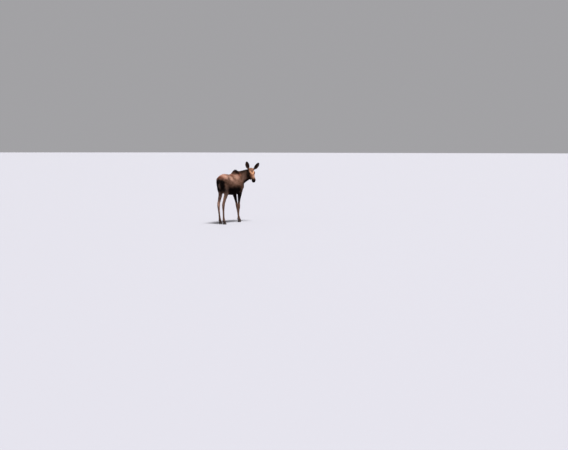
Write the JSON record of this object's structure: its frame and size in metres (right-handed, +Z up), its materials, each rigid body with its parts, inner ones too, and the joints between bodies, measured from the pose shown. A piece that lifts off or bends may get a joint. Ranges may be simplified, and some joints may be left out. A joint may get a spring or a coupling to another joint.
{
  "type": "moose",
  "caption": "Life-size still model of a young cow moose without antlers, standing on its hooves and looking back over its right shoulder.",
  "frame": {"origin": "on the floor, in the middle of the footprint of the whole animal", "axes": "+Z up, the animal faces -Y, its left side is +X; its head is turned back over its right shoulder, to -X"},
  "size_m": [0.884, 1.8208, 2.0372],
  "materials": {
    "coat": "short brown summer hair with a soft sheen",
    "dark_coat": "blackish brown hair",
    "leg_coat": "short grey-brown hair of the lower legs",
    "horn": "dark horn of hooves and dewclaws, faintly ridged",
    "eye": "wet dark brown eye"
  },
  "bodies": {
    "root": {"head": "coat", "neck": "coat", "trunk": "coat", "foreleg_left_shoulder": "coat", "foreleg_left_forearm": "coat", "foreleg_left_cannon": "leg_coat", "foreleg_left_pastern": "leg_coat", "foreleg_right_shoulder": "coat", "foreleg_right_forearm": "coat", "foreleg_right_cannon": "leg_coat", "foreleg_right_pastern": "leg_coat", "hindleg_left_thigh": "coat", "hindleg_left_gaskin": "coat", "hindleg_left_cannon": "leg_coat", "hindleg_left_pastern": "leg_coat", "hindleg_right_thigh": "coat", "hindleg_right_gaskin": "coat", "hindleg_right_cannon": "leg_coat", "hindleg_right_pastern": "leg_coat", "ear_left": "dark_coat", "ear_right": "dark_coat", "eye_left": "eye", "eye_right": "eye", "bell": "dark_coat", "tail": "dark_coat", "hoof_foreleg_left_left_claw": "horn", "dewclaw_foreleg_left_left": "horn", "hoof_foreleg_left_right_claw": "horn", "dewclaw_foreleg_left_right": "horn", "hoof_foreleg_right_left_claw": "horn", "dewclaw_foreleg_right_left": "horn", "hoof_foreleg_right_right_claw": "horn", "dewclaw_foreleg_right_right": "horn", "hoof_hindleg_left_left_claw": "horn", "dewclaw_hindleg_left_left": "horn", "hoof_hindleg_left_right_claw": "horn", "dewclaw_hindleg_left_right": "horn", "hoof_hindleg_right_left_claw": "horn", "dewclaw_hindleg_right_left": "horn", "hoof_hindleg_right_right_claw": "horn", "dewclaw_hindleg_right_right": "horn"}
  },
  "joints": []
}
